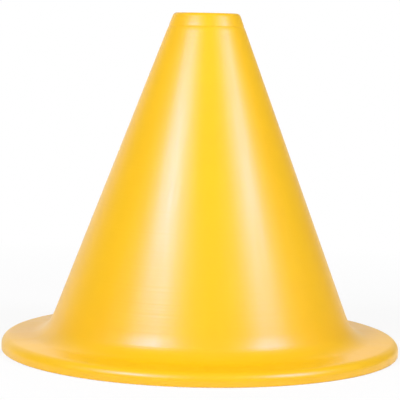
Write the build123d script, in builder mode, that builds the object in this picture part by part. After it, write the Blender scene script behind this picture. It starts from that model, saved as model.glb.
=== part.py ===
from build123d import *
from math import hypot
import os

# Sports marker cone
# A field marker moulded in soft plastic: a thin-walled cone on a round brim with a turned-down lip,
# closed at the top by a separate cap that pushes into a sleeve in the cone's mouth.
# Millimetres. The origin is the middle of the footprint on the ground, and +Z runs up the axis.

# Overall sizes
overall_height = 229.0  # ground to the flat top of the cap
foot_diameter = 210.4  # where the cone's side would meet the brim if the root were not filleted
brim_width = 30.3  # from there out to the lip
tip_diameter = 44.4  # across the flat top, before its edge is rounded

# Shell
wall = 2.2  # one wall thickness, from the sleeve through the cone and brim to the lip
brim_height = 10.1  # ground to the top of the brim beside the cone
brim_fall = 1.2  # how much lower the brim is at its rim, so that water runs off
root_radius = 17.0  # fillet between the cone and the brim
rim_radius = 5.6  # roundover from the brim down to the lip
lip_chamfer = 0.4  # on both edges of the lip, where it stands on the ground

# Seam between the shell and the cap
cap_height = 9.1  # seam to the flat top
seam_ease = 2.0  # height over which each piece draws in towards the seam
seam_depth = 0.25  # how far it draws in, so that the seam is a shallow groove
seam_chamfer = 0.2  # on both pieces, at the bottom of that groove

# Sleeve in the mouth of the shell
mouth_seat = 6.3  # width of the flat ring around the bore that the cap sits on
sleeve_length = 10.0  # down from the seam; its end stops the tip of a cone stacked below
mouth_lead_in = 0.6  # chamfer that guides the cap in

# Cap
cap_edge_radius = 3.0  # around the flat top
spigot_gap = 0.4  # radial, between the spigot and the sleeve
spigot_setback = 2.0  # how far the spigot's end stays above the sleeve's end
spigot_lead_in = 1.0  # chamfer on the spigot's end
rib_count = 8  # upright ribs that grip the sleeve
rib_radius = 0.8
rib_clearance = 0.08  # radial, between the ribs and the sleeve
gate_diameter = 6.0  # dimple in the middle of the top, where the plastic entered the mould
gate_depth = 0.4
gate_nub_diameter = 1.6  # the cut-off stub in that dimple, just below the surface
gate_nub_height = 0.25

# Worked out from the sizes above
foot_radius = foot_diameter / 2
base_radius = foot_radius + brim_width
tip_radius = tip_diameter / 2
taper = (foot_radius - tip_radius) / (overall_height - brim_height)  # radius per millimetre of height
side_wall = wall * hypot(1, taper)  # the wall of the cone's side, measured level
rim_height = brim_height - brim_fall
seam_height = overall_height - cap_height
seam_radius = tip_radius + taper * cap_height
sleeve_radius = seam_radius - mouth_seat
sleeve_end = seam_height - sleeve_length
spigot_radius = sleeve_radius - spigot_gap
spigot_end = sleeve_end + spigot_setback
rib_circle = sleeve_radius - rib_clearance - rib_radius

# Shell: one wall that follows a single line, up the sleeve's bore, across the mouth, down the cone's
# side, along the brim and down the lip
with BuildPart() as cone_shell:
    with BuildSketch(Plane.XZ):
        with BuildLine():
            FilletPolyline(
                (sleeve_radius, sleeve_end),
                (sleeve_radius, seam_height),
                (seam_radius - seam_depth, seam_height),
                (seam_radius + taper * seam_ease, seam_height - seam_ease),
                (foot_radius, brim_height),
                (base_radius, rim_height),
                (base_radius, 0),
                radius=(0, 0, 0, root_radius, rim_radius),
            )
            offset(amount=wall, side=Side.RIGHT)
        make_face()
    revolve(axis=Axis.Z)
    circles = cone_shell.edges().filter_by(GeomType.CIRCLE).group_by(Axis.Z)
    lip_edges = circles[0]
    mouth_edges = circles[-1].sort_by(SortBy.RADIUS)
    chamfer(mouth_edges[0], length=mouth_lead_in)
    chamfer(mouth_edges[-1], length=seam_chamfer)
    chamfer(lip_edges, length=lip_chamfer)
cone_shell.part.label = "cone_shell"

# Cap: a hollow top that carries on the cone's taper, and a ribbed spigot under it
with BuildPart() as tip_cap:
    with BuildSketch(Plane.XZ) as top_section:
        with BuildLine():
            Polyline(
                (0, overall_height),
                (tip_radius, overall_height),
                (seam_radius - taper * seam_ease, seam_height + seam_ease),
                (seam_radius - seam_depth, seam_height),
                (seam_radius - side_wall, seam_height),
                (tip_radius + taper * wall - side_wall, overall_height - wall),
                (0, overall_height - wall),
                close=True,
            )
        make_face()
        top_corner = top_section.vertices().group_by(Axis.Y)[-1].sort_by(Axis.X)[-1]
        fillet(top_corner, radius=cap_edge_radius)
    revolve(axis=Axis.Z)
    seam_edges = tip_cap.edges().filter_by(GeomType.CIRCLE).group_by(Axis.Z)[0]
    chamfer(seam_edges.sort_by(SortBy.RADIUS)[-1], length=seam_chamfer)
    with BuildSketch(Plane.XY.offset(spigot_end)):
        Circle(spigot_radius)
        Circle(spigot_radius - wall, mode=Mode.SUBTRACT)
    extrude(amount=overall_height - wall - spigot_end)
    spigot_edges = tip_cap.edges().filter_by(GeomType.CIRCLE).group_by(Axis.Z)[0]
    chamfer(spigot_edges.sort_by(SortBy.RADIUS)[-1], length=spigot_lead_in)
    with BuildSketch(Plane.XY.offset(spigot_end + spigot_lead_in)):
        with PolarLocations(rib_circle, rib_count):
            Circle(rib_radius)
    extrude(amount=seam_height - spigot_end - spigot_lead_in)
    with BuildSketch(Plane.XY.offset(overall_height)):
        Circle(gate_diameter / 2)
    extrude(amount=-gate_depth, mode=Mode.SUBTRACT)
    with BuildSketch(Plane.XY.offset(overall_height - gate_depth)):
        Circle(gate_nub_diameter / 2)
    extrude(amount=gate_nub_height)
tip_cap.part.label = "tip_cap"

os.makedirs("parts", exist_ok=True)
export_step(cone_shell.part, "parts/cone_shell.step")
export_step(tip_cap.part, "parts/tip_cap.step")
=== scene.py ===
# %% [markdown]
# # A sports marker cone
# A field marker is a thin cone of soft plastic that stands on a round brim. It is hollow, so that a set of
# them nests in a stack, and a separate cap closes its tip. This lesson turns both pieces on a lathe made of
# nodes, gives them the satin finish of moulded plastic, and lights them as a small studio does.

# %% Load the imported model
import math

import bpy
from mathutils import Matrix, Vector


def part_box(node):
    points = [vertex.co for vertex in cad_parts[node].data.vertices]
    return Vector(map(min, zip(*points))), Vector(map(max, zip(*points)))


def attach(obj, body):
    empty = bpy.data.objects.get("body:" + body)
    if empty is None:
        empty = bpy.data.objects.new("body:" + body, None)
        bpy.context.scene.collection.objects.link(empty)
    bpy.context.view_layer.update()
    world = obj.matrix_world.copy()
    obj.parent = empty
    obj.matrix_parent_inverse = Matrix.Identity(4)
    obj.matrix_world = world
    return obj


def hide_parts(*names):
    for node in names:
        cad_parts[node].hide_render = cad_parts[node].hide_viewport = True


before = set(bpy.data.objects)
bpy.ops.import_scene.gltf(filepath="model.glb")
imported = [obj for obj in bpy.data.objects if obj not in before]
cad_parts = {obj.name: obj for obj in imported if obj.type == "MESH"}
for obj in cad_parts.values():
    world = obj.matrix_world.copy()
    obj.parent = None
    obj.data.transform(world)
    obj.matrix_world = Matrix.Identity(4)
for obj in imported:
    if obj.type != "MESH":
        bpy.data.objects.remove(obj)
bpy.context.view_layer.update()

# %% [markdown]
# ## Sizes
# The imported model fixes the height, the base, the seam and the end of the cap's spigot, so those are read
# from its boxes. The rest are the sizes of the mould, in millimetres. Blender works in metres, so each is
# multiplied by MM.

# %% Sizes of the mould
MM = 0.001
shell_low, shell_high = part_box("cone_shell")
cap_low, cap_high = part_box("tip_cap")
base_radius = min(-shell_low.x, -shell_low.y, shell_high.x, shell_high.y)
seam_height = shell_high.z
overall_height = cap_high.z
spigot_end = cap_low.z

wall = 2.2 * MM
tip_radius = 22.2 * MM  # of the flat top, before its edge is rounded
foot_radius = 105.2 * MM  # where the cone's side would meet the brim without the fillet
root_radius = 17.0 * MM  # that fillet
root_lead, root_step = 12.6 * MM, 1.6 * MM  # this high above the foot the side bends out, by this much
brim_height = 10.1 * MM  # beside the cone
rim_height = 8.9 * MM  # at the rim, a little lower, so that water runs off
rim_radius = 5.6 * MM  # roundover from the brim down to the lip
seam_ease, seam_depth = 2.0 * MM, 0.25 * MM  # each piece draws in towards the seam
mouth_seat = 6.3 * MM  # the flat ring that the cap sits on
sleeve_length = 10.0 * MM  # its end stops the tip of a cone stacked below
spigot_gap = 0.4 * MM  # between the spigot and the sleeve

taper = (foot_radius - tip_radius) / (overall_height - brim_height)
brim_slope = (brim_height - rim_height) / (base_radius - foot_radius)
seam_radius = tip_radius + taper * (overall_height - seam_height)
sleeve_radius = seam_radius - mouth_seat
sleeve_end = seam_height - sleeve_length
spigot_radius = sleeve_radius - spigot_gap
print(f"{overall_height / MM:.1f} mm tall, {2 * base_radius / MM:.1f} mm across the brim")

# %% [markdown]
# ## The shell's line
# The shell is one wall, 2.2 mm thick, that follows a single line: up the sleeve, across the mouth, down the
# cone, along the brim and down the lip. Only that line's corners are written down, each with the radius of
# its rounding. A soft moulding has no hard start to its root fillet, so the side bends out a little above
# it, and the highlights brighten and end softly there. The inner face is the same line moved to its right
# by the wall's thickness, as a draughtsman would offset it, so the wall stays even through every bend.

# %% Corners of the outer face and of the inner face
EDGE = 0.35 * MM  # the small rounding that any moulded edge has
MOUTH_EDGE = 0.7 * MM  # guides the cap in
LIP_EDGE = 0.5 * MM  # where the lip stands on the ground
SEAM_EDGE = 0.08 * MM  # on both pieces, where they meet
SEAM_BLEND = 20.0 * MM  # the soft bend where a piece starts to draw in
ROOT_BLEND = 70.0 * MM  # the soft bend above the root fillet
STRAIGHT = 1e-9  # a corner that turns by less than this is no bend

outer_face = [
    (sleeve_radius, sleeve_end, EDGE),
    (sleeve_radius, seam_height, MOUTH_EDGE),
    (seam_radius - seam_depth, seam_height, SEAM_EDGE),
    (seam_radius + taper * seam_ease, seam_height - seam_ease, SEAM_BLEND),
    (foot_radius - taper * root_lead, brim_height + root_lead, ROOT_BLEND),
    (foot_radius + root_step, brim_height - brim_slope * root_step, root_radius),
    (base_radius, rim_height, rim_radius),
    (base_radius, 0.0, LIP_EDGE),
]


def moved_right(line, distance):
    """The line's corners moved to its right by a distance, with roundings that keep the wall even."""
    legs = []
    for (r0, z0, _), (r1, z1, _) in zip(line, line[1:]):
        length = math.hypot(r1 - r0, z1 - z0)
        legs.append(((r1 - r0) / length, (z1 - z0) / length))
    moved = []
    for (r, z, rounding), before, after in zip(line, legs[:1] + legs, legs + legs[-1:]):
        share = distance / (1 + before[0] * after[0] + before[1] * after[1])
        turn = before[0] * after[1] - before[1] * after[0]
        bend = (turn > STRAIGHT) - (turn < -STRAIGHT)
        rounding = max(rounding + bend * distance, EDGE)
        moved.append((r + share * (before[1] + after[1]), z - share * (before[0] + after[0]), rounding))
    return moved


inner_face = moved_right(outer_face, wall)
for (r, z, _), (ri, zi, _) in zip(outer_face, inner_face):
    print(f"outer {r / MM:7.2f} {z / MM:7.2f}   inner {ri / MM:7.2f} {zi / MM:7.2f}")

# %% [markdown]
# ## The cap's line
# The cap carries on the cone's taper to the flat top. It is hollow, with a ring under it, the spigot, that
# pushes into the sleeve. The dimple in the middle of the top is where the plastic entered the mould, with
# the cut-off stub of the sprue left in it. The line starts and ends on the axis.

# %% Corners of the cap, from the top of its axis to the bottom
top_edge = 3.0 * MM  # rounding around the flat top
gate_radius, gate_depth, gate_edge = 3.0 * MM, 0.4 * MM, 0.2 * MM
stub_radius, stub_height = 0.8 * MM, 0.25 * MM
stub_edge, stub_foot = 0.15 * MM, 0.1 * MM
spigot_lead_in = 1.2 * MM  # rounding that guides the spigot into the sleeve
hollow_corner = 0.5 * MM  # inside the spigot, under the top

skirt = wall * math.hypot(1, taper)  # the wall of the tapered side, measured level
cap_floor = overall_height - wall
gate_floor = overall_height - gate_depth

cap_outside = [
    (0.0, gate_floor + stub_height, 0.0),
    (stub_radius, gate_floor + stub_height, stub_edge),
    (stub_radius, gate_floor, stub_foot),
    (gate_radius, gate_floor, gate_edge),
    (gate_radius, overall_height, gate_edge),
    (tip_radius, overall_height, top_edge),
    (seam_radius - taper * seam_ease, seam_height + seam_ease, SEAM_BLEND),
    (seam_radius - seam_depth, seam_height, SEAM_EDGE),
    (seam_radius - skirt, seam_height, EDGE),
]
cap_underside = [
    (tip_radius + taper * wall - skirt, cap_floor, EDGE),
    (spigot_radius, cap_floor, EDGE),
    (spigot_radius, spigot_end, spigot_lead_in),
    (spigot_radius - wall, spigot_end, EDGE),
    (spigot_radius - wall, cap_floor, hollow_corner),
    (0.0, cap_floor, 0.0),
]
print(len(cap_outside) + len(cap_underside), "corners on the cap")

# %% [markdown]
# ## A lathe made of nodes
# A turned shape is a line swept round an axis. Blender's Screw and Spin tools do that too, but a node tree
# keeps the corners, the roundings and the fineness as separate steps that can be changed later. The line
# comes in as a mesh of corners. Fillet Curve rounds each corner by its own radius, Subdivide Curve adds
# rows on the long straight runs, and Curve to Mesh sweeps the line round a circle. The sweep places the
# line relative to the circle, so the line is first moved inwards by the circle's own radius.

# %% One small function for every node in this file
def add_node(tree, kind, inputs=None, **settings):
    """Adds a node. Inputs are given by name or number, each with a value or with a socket to link from."""
    node = tree.nodes.new(kind)
    for name, value in settings.items():
        setattr(node, name, value)
    for key, value in (inputs or {}).items():
        if isinstance(value, bpy.types.NodeSocket):
            tree.links.new(value, node.inputs[key])
        else:
            node.inputs[key].default_value = value
    return node


def start_tree(name, sizes):
    """A Geometry Nodes tree with a geometry input, named inputs for its sizes and a geometry output."""
    tree = bpy.data.node_groups.new(name, "GeometryNodeTree")
    tree.interface.new_socket("Geometry", in_out="INPUT", socket_type="NodeSocketGeometry")
    for label, kind in sizes.items():
        tree.interface.new_socket(label, in_out="INPUT", socket_type="NodeSocket" + kind)
    tree.interface.new_socket("Geometry", in_out="OUTPUT", socket_type="NodeSocketGeometry")
    return tree, add_node(tree, "NodeGroupInput").outputs


def finish_tree(tree, geometry, material):
    """Ends a tree in real faces with one material."""
    real = add_node(tree, "GeometryNodeRealizeInstances", {"Geometry": geometry})
    painted = add_node(tree, "GeometryNodeSetMaterial", {"Geometry": real.outputs[0], "Material": material})
    add_node(tree, "NodeGroupOutput", {0: painted.outputs[0]})
    print("tree", tree.name, "has", len(tree.nodes), "nodes")


# %% The lathe's tree, first half: round the corners and divide the straight runs
FEWEST_ROWS, ROWS_PER_MM, MOST_ROWS = 3.0, 0.9, 24.0  # on a rounded corner, by its radius
SAME_POINT = 0.001 * MM  # points nearer than this are merged, which closes the seam and the poles

lathe, given = start_tree(
    "lathe", {"Around": "Int", "Row spacing": "Float", "Rail radius": "Float", "Material": "Material"}
)
line = add_node(lathe, "GeometryNodeMeshToCurve", {"Mesh": given["Geometry"]})
rounding = add_node(lathe, "GeometryNodeInputNamedAttribute", {"Name": "rounding"}, data_type="FLOAT")
wanted_rows = add_node(
    lathe,
    "ShaderNodeMath",
    {0: rounding.outputs[0], 1: ROWS_PER_MM / MM, 2: FEWEST_ROWS},
    operation="MULTIPLY_ADD",
)
corner_rows = add_node(
    lathe, "ShaderNodeMath", {0: wanted_rows.outputs[0], 1: MOST_ROWS}, operation="MINIMUM"
)
rounded = add_node(
    lathe,
    "GeometryNodeFilletCurve",
    {"Curve": line.outputs[0], "Count": corner_rows.outputs[0], "Radius": rounding.outputs[0]},
    mode="POLY",
)
here = add_node(lathe, "GeometryNodeInputPosition")
index = add_node(lathe, "GeometryNodeInputIndex")
after_index = add_node(lathe, "ShaderNodeMath", {0: index.outputs[0], 1: 1.0}, operation="ADD")
next_one = add_node(
    lathe,
    "GeometryNodeFieldAtIndex",
    {"Index": after_index.outputs[0], "Value": here.outputs[0]},
    data_type="FLOAT_VECTOR",
    domain="POINT",
)
gap = add_node(
    lathe, "ShaderNodeVectorMath", {0: here.outputs[0], 1: next_one.outputs[0]}, operation="DISTANCE"
)
rows = add_node(
    lathe, "ShaderNodeMath", {0: gap.outputs["Value"], 1: given["Row spacing"]}, operation="DIVIDE"
)
divided = add_node(
    lathe, "GeometryNodeSubdivideCurve", {"Curve": rounded.outputs[0], "Cuts": rows.outputs[0]}
)
print("so far the lathe has", len(lathe.nodes), "nodes")

# %% The lathe's tree, second half: sweep the line round the axis
along = add_node(lathe, "GeometryNodeSplineParameter")
measured = add_node(
    lathe,
    "GeometryNodeStoreNamedAttribute",
    {"Geometry": divided.outputs[0], "Name": "run", "Value": along.outputs["Length"]},
    data_type="FLOAT",
    domain="POINT",
)
inwards = add_node(lathe, "ShaderNodeMath", {0: given["Rail radius"], 1: -1.0}, operation="MULTIPLY")
shift = add_node(lathe, "ShaderNodeCombineXYZ", {"X": inwards.outputs[0]})
laid_flat = add_node(
    lathe,
    "GeometryNodeTransform",
    {"Geometry": measured.outputs[0], "Translation": shift.outputs[0], "Rotation": (math.pi / 2, 0.0, 0.0)},
)
rail = add_node(
    lathe,
    "GeometryNodeCurvePrimitiveCircle",
    {"Resolution": given["Around"], "Radius": given["Rail radius"]},
    mode="RADIUS",
)
swept = add_node(
    lathe, "GeometryNodeCurveToMesh", {"Curve": rail.outputs[0], "Profile Curve": laid_flat.outputs[0]}
)
closed = add_node(
    lathe, "GeometryNodeMergeByDistance", {"Geometry": swept.outputs[0], "Distance": SAME_POINT}
)
smooth = add_node(lathe, "GeometryNodeSetShadeSmooth", {"Geometry": closed.outputs[0]})
finish_tree(lathe, smooth.outputs[0], given["Material"])

# %% Helpers that put a line on the lathe and take the turned piece off it
def line_object(name, faces, loop):
    """A mesh of corners joined by edges. faces holds (corners, is it an inner face) in order."""
    corners = [(r, 0.0, z) for corner_list, _ in faces for r, z, _ in corner_list]
    edges = [(i, i + 1) for i in range(len(corners) - 1)] + ([(len(corners) - 1, 0)] if loop else [])
    mesh = bpy.data.meshes.new(name)
    mesh.from_pydata(corners, edges, [])
    roundings = [rounding for corner_list, _ in faces for _, _, rounding in corner_list]
    inner = [float(is_inner) for corner_list, is_inner in faces for _ in corner_list]
    for label, values in (("rounding", roundings), ("inner", inner)):
        mesh.attributes.new(label, "FLOAT", "POINT").data.foreach_set("value", values)
    piece = bpy.data.objects.new(name, mesh)
    bpy.context.scene.collection.objects.link(piece)
    return piece


def add_tree(piece, tree, sizes):
    """Puts a tree on a piece and sets its named inputs, each by the identifier of its socket."""
    modifier = piece.modifiers.new(tree.name, "NODES")
    modifier.node_group = tree
    for item in tree.interface.items_tree:
        if item.name in sizes:
            modifier[item.identifier] = sizes[item.name]


def make_plain(piece):
    """Turns what the piece's modifiers make into its own plain mesh, and removes the modifiers."""
    bpy.context.view_layer.update()
    made = bpy.data.meshes.new_from_object(piece.evaluated_get(bpy.context.evaluated_depsgraph_get()))
    piece.modifiers.clear()
    piece.data = made
    made.name = piece.name
    tall = max(v.co.z for v in made.vertices) / MM
    across = 2 * max(v.co.x for v in made.vertices) / MM
    print(piece.name, len(made.polygons), "faces,", f"{across:.2f} mm across, top at {tall:.2f} mm")


# %% [markdown]
# ## Satin moulded polyethylene
# Training cones are moulded in soft polyethylene, coloured right through. The skin copies the mould: it is
# satin, not glossy, with a faint orange peel and very fine rings from the turning of the mould. The plastic
# flowed down from the tip, which leaves weak upright streaks in the gloss. The inside was formed on the
# core of the mould, which is left duller, and the tip is duller where hands and the next cone of a stack
# rub it. The colour is one yellow that drifts slightly, as pigment does.
#
# This yellow almost fills the red of a picture, so a white reflection could only add green and blue to it,
# and would look lemon. A slightly bluish reflection gives the cream highlights that such plastic shows.

# %% Colour from hex values
def linear(hex_colour):
    """An sRGB hex colour as the linear RGBA that Blender's sockets hold."""
    parts = [int(hex_colour[i : i + 2], 16) / 255 for i in (1, 3, 5)]
    return [p / 12.92 if p <= 0.04045 else ((p + 0.055) / 1.055) ** 2.4 for p in parts] + [1.0]


def start_material(name):
    """A material with an empty node tree."""
    material = bpy.data.materials.new(name)
    material.use_nodes = True
    material.node_tree.nodes.clear()
    return material


# %% Where the patterns lie
plastic = start_material("satin_moulded_polyethylene")
skin = plastic.node_tree
place = add_node(skin, "ShaderNodeTexCoord").outputs["Object"]
level = add_node(skin, "ShaderNodeVectorMath", {0: place, 1: (1.0, 1.0, 0.0)}, operation="MULTIPLY")
facing = add_node(skin, "ShaderNodeVectorMath", {0: level.outputs[0]}, operation="NORMALIZE")
run = add_node(skin, "ShaderNodeAttribute", attribute_name="run").outputs["Fac"]
inner = add_node(skin, "ShaderNodeAttribute", attribute_name="inner").outputs["Fac"]
height = add_node(skin, "ShaderNodeSeparateXYZ", {0: place}).outputs["Z"]
print("patterns follow the object's own coordinates, the run along its line and the inner face")

# %% Flow streaks, turning rings, orange peel and drift of the pigment
STREAKS_AROUND = 26.0  # about 15 mm apart half way up; they run down the cone
STREAK_LENGTH = 167.0 * MM  # over which a streak comes and goes
RING_PITCH = 1.6 * MM  # real turning rings are 0.2 mm apart; drawn coarser so that they show
PEEL_SIZE = 1.6 * MM  # between the dimples of the orange peel
DRIFT_SIZE = 45.0 * MM  # between paler and deeper patches of pigment

per_turn = STREAKS_AROUND / math.tau
lengthwise = add_node(
    skin, "ShaderNodeVectorMath", {0: place, 1: (0.0, 0.0, 1 / STREAK_LENGTH)}, operation="MULTIPLY"
)
streak_place = add_node(
    skin,
    "ShaderNodeVectorMath",
    {0: facing.outputs[0], 1: (per_turn, per_turn, 0.0), 2: lengthwise.outputs[0]},
    operation="MULTIPLY_ADD",
)
streaks = add_node(
    skin,
    "ShaderNodeTexNoise",
    {"Vector": streak_place.outputs[0], "Scale": 1.0, "Detail": 4.0, "Roughness": 0.7},
)
rings = add_node(
    skin, "ShaderNodeTexNoise", {"W": run, "Scale": 1 / RING_PITCH, "Detail": 1.0}, noise_dimensions="1D"
)
peel = add_node(skin, "ShaderNodeTexNoise", {"Vector": place, "Scale": 1 / PEEL_SIZE, "Detail": 2.0})
drift = add_node(skin, "ShaderNodeTexNoise", {"Vector": place, "Scale": 1 / DRIFT_SIZE, "Detail": 2.0})
print(f"{STREAKS_AROUND:.0f} streaks around, rings every {RING_PITCH / MM:.1f} mm")

# %% Colour, roughness and relief
YELLOW = "#FCC807"
DEEP_YELLOW = "#FCC206"
REFLECTION_TINT, REFLECTION_LEVEL = "#B3B3FF", 0.69
NOISE_LOW, NOISE_HIGH = 0.3, 0.7  # nearly all of a noise lies between these
SATIN, DULL = 0.315, 0.405  # roughness in the glossier and in the duller streaks
INSIDE_DULLER, TIP_DULLER = 0.14, 0.06  # added to it
WORN_FROM = 130.0 * MM  # the height where the rubbed tip starts
LINE_RELIEF, PEEL_RELIEF = 0.030 * MM, 0.012 * MM

colour = add_node(
    skin,
    "ShaderNodeMix",
    {"Factor": drift.outputs["Fac"], 6: linear(YELLOW), 7: linear(DEEP_YELLOW)},  # 6 and 7 are its colours
    data_type="RGBA",
)
gloss = add_node(
    skin,
    "ShaderNodeMapRange",
    {
        "Value": streaks.outputs["Fac"],
        "From Min": NOISE_LOW,
        "From Max": NOISE_HIGH,
        "To Min": SATIN,
        "To Max": DULL,
    },
)
moulded = add_node(
    skin, "ShaderNodeMath", {0: inner, 1: INSIDE_DULLER, 2: gloss.outputs[0]}, operation="MULTIPLY_ADD"
)
worn = add_node(
    skin,
    "ShaderNodeMapRange",
    {
        "Value": height,
        "From Min": WORN_FROM,
        "From Max": overall_height,
        "To Min": 0.0,
        "To Max": TIP_DULLER,
    },
)
rough = add_node(skin, "ShaderNodeMath", {0: moulded.outputs[0], 1: worn.outputs[0]}, operation="ADD")
lines = add_node(
    skin, "ShaderNodeMath", {0: rings.outputs["Fac"], 1: streaks.outputs["Fac"]}, operation="ADD"
)
line_relief = add_node(
    skin, "ShaderNodeBump", {"Strength": 1.0, "Distance": LINE_RELIEF, "Height": lines.outputs[0]}
)
relief = add_node(
    skin,
    "ShaderNodeBump",
    {
        "Strength": 1.0,
        "Distance": PEEL_RELIEF,
        "Height": peel.outputs["Fac"],
        "Normal": line_relief.outputs[0],
    },
)
shader = add_node(
    skin,
    "ShaderNodeBsdfPrincipled",
    {
        "Base Color": colour.outputs[2],
        "Roughness": rough.outputs[0],
        "Normal": relief.outputs[0],
        "IOR": 1.5,
        "Specular Tint": linear(REFLECTION_TINT),
        "Specular IOR Level": REFLECTION_LEVEL,
    },
)
add_node(skin, "ShaderNodeOutputMaterial", {"Surface": shader.outputs[0]})
print("material", plastic.name, "has", len(skin.nodes), "nodes")

# %% [markdown]
# ## Turn the shell and the cap
# Both pieces go through the same lathe, with 240 steps around, which keeps the brim round to about a
# hundredth of a millimetre. The result becomes a plain mesh, because a finished piece carries no live tree.

# %% The shell
LATHE_SIZES = {"Around": 240, "Row spacing": 6.0 * MM, "Rail radius": 100.0 * MM, "Material": plastic}
shell = line_object("moulded_shell", [(outer_face, False), (inner_face[::-1], True)], loop=True)
add_tree(shell, lathe, LATHE_SIZES)
make_plain(shell)

# %% [markdown]
# ## Ribs that grip
# The spigot has eight upright ribs, which are squeezed when the cap is pushed in and hold it there. They
# repeat, so a second tree makes one rib and sets copies of it on a circle of points. A Boolean then joins
# them to the spigot, so that the cap stays one closed skin, as it is in the mould.

# %% The ribs' tree, first half: one rib, thinner at its lower end
RIB_STEPS, RIB_SIDES = 8, 12
RIB_LEAD_IN, RIB_END = 0.3, 0.6  # share of its length that is thinner, and of its radius left at the end

ribs, given = start_tree(
    "grip_ribs",
    {
        "Ribs": "Int",
        "Circle radius": "Float",
        "Rib radius": "Float",
        "Bottom": "Vector",
        "Top": "Vector",
        "Material": "Material",
    },
)
stem = add_node(ribs, "GeometryNodeCurvePrimitiveLine", {"Start": given["Bottom"], "End": given["Top"]})
stepped = add_node(ribs, "GeometryNodeResampleCurve", {"Curve": stem.outputs[0], "Count": RIB_STEPS})
upwards = add_node(ribs, "GeometryNodeSplineParameter")
lead_in = add_node(
    ribs,
    "ShaderNodeMapRange",
    {"Value": upwards.outputs["Factor"], "From Max": RIB_LEAD_IN, "To Min": RIB_END, "To Max": 1.0},
)
thick = add_node(
    ribs, "ShaderNodeMath", {0: lead_in.outputs[0], 1: given["Rib radius"]}, operation="MULTIPLY"
)
tapered = add_node(
    ribs, "GeometryNodeSetCurveRadius", {"Curve": stepped.outputs[0], "Radius": thick.outputs[0]}
)
rib_ring = add_node(
    ribs, "GeometryNodeCurvePrimitiveCircle", {"Resolution": RIB_SIDES, "Radius": 1.0}, mode="RADIUS"
)
rib = add_node(
    ribs,
    "GeometryNodeCurveToMesh",
    {
        "Curve": tapered.outputs[0],
        "Profile Curve": rib_ring.outputs[0],
        "Scale": thick.outputs[0],
        "Fill Caps": True,
    },
)
print("so far the ribs have", len(ribs.nodes), "nodes")

# %% The ribs' tree, second half: copies around the spigot, joined to the cap
SHARP = math.radians(40)  # edges above this angle stay crisp

spots = add_node(
    ribs, "GeometryNodeMeshCircle", {"Vertices": given["Ribs"], "Radius": given["Circle radius"]}
)
set_out = add_node(
    ribs, "GeometryNodeInstanceOnPoints", {"Points": spots.outputs[0], "Instance": rib.outputs[0]}
)
real_ribs = add_node(ribs, "GeometryNodeRealizeInstances", {"Geometry": set_out.outputs[0]})
together = add_node(ribs, "GeometryNodeMeshBoolean", operation="UNION", solver="MANIFOLD")
for joined in (real_ribs.outputs[0], given["Geometry"]):
    ribs.links.new(joined, together.inputs[1])
smooth = add_node(ribs, "GeometryNodeSetShadeSmooth", {"Geometry": together.outputs[0]})
steep = add_node(ribs, "GeometryNodeInputMeshEdgeAngle")
gentle = add_node(ribs, "ShaderNodeMath", {0: steep.outputs[0], 1: SHARP}, operation="LESS_THAN")
eased = add_node(
    ribs,
    "GeometryNodeSetShadeSmooth",
    {"Geometry": smooth.outputs[0], "Shade Smooth": gentle.outputs[0]},
    domain="EDGE",
)
finish_tree(ribs, eased.outputs[0], given["Material"])

# %% The cap
rib_radius, rib_clearance = 0.8 * MM, 0.08 * MM  # the clearance is between a rib and the sleeve
rib_start = 1.0 * MM  # above the spigot's end

RIB_SIZES = {
    "Ribs": 8,
    "Circle radius": sleeve_radius - rib_clearance - rib_radius,
    "Rib radius": rib_radius,
    "Bottom": (0.0, 0.0, spigot_end + rib_start),
    "Top": (0.0, 0.0, seam_height),
    "Material": plastic,
}
cap = line_object("moulded_cap", [(cap_outside, False), (cap_underside, True)], loop=False)
add_tree(cap, lathe, LATHE_SIZES)
add_tree(cap, ribs, RIB_SIZES)
make_plain(cap)

# %% [markdown]
# ## Join the pieces to the moving model
# On the real marker the cap can be pulled straight up out of the mouth. The imported model holds that motion
# in its two bodies, so nothing is animated here. Each dressed piece hides the node that it stands for and
# moves with that node's body.

# %% Each piece stands for its node and moves with its body
for piece, node, body, slot in (
    (shell, "cone_shell", "cone", "shell_plastic"),
    (cap, "tip_cap", "cap", "cap_plastic"),
):
    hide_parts(node)
    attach(piece, body)
    print(piece.name, "stands for", node, "and rides on", body)

# %% [markdown]
# ## Floor and room
# The cone stands on a white sweep. Seen by the camera or mirrored in the plastic, the floor is almost pure
# white, with an eighth of its real shade left in near the cone, so that the cone keeps a soft shadow. Under
# the hollow cone it keeps its real shade, so that it doesn't glow through the open mouth. The room is white
# behind the cone and darker in front, where the camera stands: that is what leaves the middle of the cone a
# deep yellow and makes its outline pale, because plastic mirrors more at a glancing angle.

# %% Floor
FLOOR_HALF = 6.0
SHADE_NEAR, SHADE_FAR = 0.15, 0.6  # metres from the axis, between which the shade fades out
WHITE_NEAR = 0.87  # the share of plain white near the cone

floor_corners = [(x * FLOOR_HALF, y * FLOOR_HALF, 0.0) for x, y in ((-1, -1), (1, -1), (1, 1), (-1, 1))]
floor_mesh = bpy.data.meshes.new("floor")
floor_mesh.from_pydata(floor_corners, [], [(0, 1, 2, 3)])
floor = bpy.data.objects.new("floor", floor_mesh)
bpy.context.scene.collection.objects.link(floor)

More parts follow.
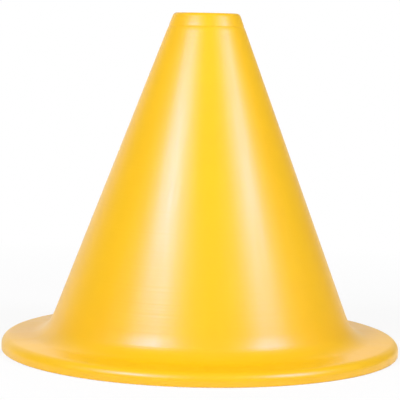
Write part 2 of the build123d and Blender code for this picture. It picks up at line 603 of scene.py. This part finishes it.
paper = start_material("white_paper_sweep")
sheet = paper.node_tree
path = add_node(sheet, "ShaderNodeLightPath")
spot = add_node(sheet, "ShaderNodeTexCoord").outputs["Object"]
away = add_node(sheet, "ShaderNodeVectorMath", {0: spot}, operation="LENGTH")
whiten = add_node(
    sheet,
    "ShaderNodeMapRange",
    {
        "Value": away.outputs["Value"],
        "From Min": SHADE_NEAR,
        "From Max": SHADE_FAR,
        "To Min": WHITE_NEAR,
        "To Max": 1.0,
    },
)
looked_at = add_node(
    sheet,
    "ShaderNodeMath",
    {0: path.outputs["Is Camera Ray"], 1: path.outputs["Is Glossy Ray"]},
    operation="MAXIMUM",
)
outside = add_node(
    sheet, "ShaderNodeMath", {0: away.outputs["Value"], 1: base_radius}, operation="GREATER_THAN"
)
open_floor = add_node(
    sheet, "ShaderNodeMath", {0: whiten.outputs[0], 1: outside.outputs[0]}, operation="MULTIPLY"
)
seen = add_node(
    sheet, "ShaderNodeMath", {0: looked_at.outputs[0], 1: open_floor.outputs[0]}, operation="MULTIPLY"
)
matte = add_node(sheet, "ShaderNodeBsdfDiffuse", {"Color": linear("#F4F4EC")})
white = add_node(sheet, "ShaderNodeEmission", {"Color": linear("#FFFFFF"), "Strength": 1.0})
both = add_node(
    sheet, "ShaderNodeMixShader", {0: seen.outputs[0], 1: matte.outputs[0], 2: white.outputs[0]}
)
add_node(sheet, "ShaderNodeOutputMaterial", {"Surface": both.outputs[0]})
floor_mesh.materials.append(paper)
print("floor", 2 * FLOOR_HALF, "m across")

# %% Room
BACK = (-0.218, 0.976, 0.0)  # towards the brightest part of the room, behind the cone and a little left
FADE_START = 0.64  # how far round towards the back the room starts to brighten: 1 is the back itself
FRONT_LEVEL, BACK_LEVEL = 0.189, 1.24

room = bpy.data.worlds.new("white_studio")
room.use_nodes = True
room.node_tree.nodes.clear()
air = room.node_tree
path = add_node(air, "ShaderNodeLightPath")
towards = add_node(air, "ShaderNodeTexCoord").outputs["Generated"]
depth = add_node(air, "ShaderNodeVectorMath", {0: towards, 1: BACK}, operation="DOT_PRODUCT")
fade = add_node(
    air,
    "ShaderNodeMapRange",
    {
        "Value": depth.outputs["Value"],
        "From Min": FADE_START,
        "From Max": 1.0,
        "To Min": FRONT_LEVEL,
        "To Max": BACK_LEVEL,
    },
)
shade = add_node(air, "ShaderNodeBackground", {"Color": linear("#FFFFFF"), "Strength": fade.outputs[0]})
clean = add_node(air, "ShaderNodeBackground", {"Color": linear("#FFFFFF"), "Strength": 1.0})
seen = add_node(
    air, "ShaderNodeMixShader", {0: path.outputs["Is Camera Ray"], 1: shade.outputs[0], 2: clean.outputs[0]}
)
add_node(air, "ShaderNodeOutputWorld", {"Surface": seen.outputs[0]})
bpy.context.scene.world = room
print("room level", FRONT_LEVEL, "in front,", BACK_LEVEL, "behind")

# %% [markdown]
# ## Soft boxes
# The two pale bands down the cone are the mirror images of two soft boxes in front of it, one on each side
# of the camera. On a cone each band stands where the surface faces half way between the camera and the box.
# A third, low box lights the back of the cone to about the same level. It is kept out of reflections, so
# that it puts no glare on the brim.

# %% The boxes
AIM = (0.0, 0.0, 0.10)  # a little below the middle of the cone
BOX_COLOUR = "#EEEEFF"  # daylight, slightly cool


def soft_box(name, turn, rise, away, width, tall, watts, mirrored=True):
    """An area lamp that faces the cone, at a turn to the camera's right and a rise, in degrees."""
    lamp = bpy.data.lights.new(name, "AREA")
    lamp.shape = "RECTANGLE"
    lamp.size, lamp.size_y = width, tall
    lamp.energy = watts
    lamp.color = linear(BOX_COLOUR)[:3]
    box = bpy.data.objects.new(name, lamp)
    bpy.context.scene.collection.objects.link(box)
    box.visible_glossy = mirrored
    turned = Matrix.Rotation(math.radians(turn), 4, "Z") @ Matrix.Rotation(math.radians(90 - rise), 4, "X")
    box.matrix_world = Matrix.Translation(AIM) @ turned @ Matrix.Translation((0.0, 0.0, away))
    print(name, "stands at", [round(v, 2) for v in box.matrix_world.translation])


soft_box("soft_box_left", turn=-40.6, rise=34.8, away=1.46, width=0.625, tall=0.22, watts=16.2)
soft_box("soft_box_right", turn=58.6, rise=33.9, away=1.46, width=0.456, tall=0.46, watts=13.6)
soft_box("fill_behind", turn=180.0, rise=4.0, away=2.5, width=1.20, tall=0.30, watts=32.0, mirrored=False)

# %% [markdown]
# ## Camera
# A long lens from five cone heights away, a little below the height of the tip, looking slightly down. The
# horizon leans by a degree, as it does in a hand-held shot.

# %% Camera
EYE = (0.0, -1.1870, 0.2171)
LOOK_DOWN, LEAN, SWING = 0.0966, 0.0210, 0.0016  # radians

lens = bpy.data.cameras.new("camera")
lens.sensor_width = 36.0
lens.lens = 157.34
camera = bpy.data.objects.new("camera", lens)
bpy.context.scene.collection.objects.link(camera)
camera.matrix_world = (
    Matrix.Translation(EYE)
    @ Matrix.Rotation(SWING, 4, "Z")
    @ Matrix.Rotation(math.pi / 2 - LOOK_DOWN, 4, "X")
    @ Matrix.Rotation(LEAN, 4, "Z")
)
bpy.context.scene.camera = camera
bpy.context.scene.view_settings.view_transform = "Standard"
print(f"camera looks down by {math.degrees(LOOK_DOWN):.1f} degrees with a {lens.lens:.0f} mm lens")
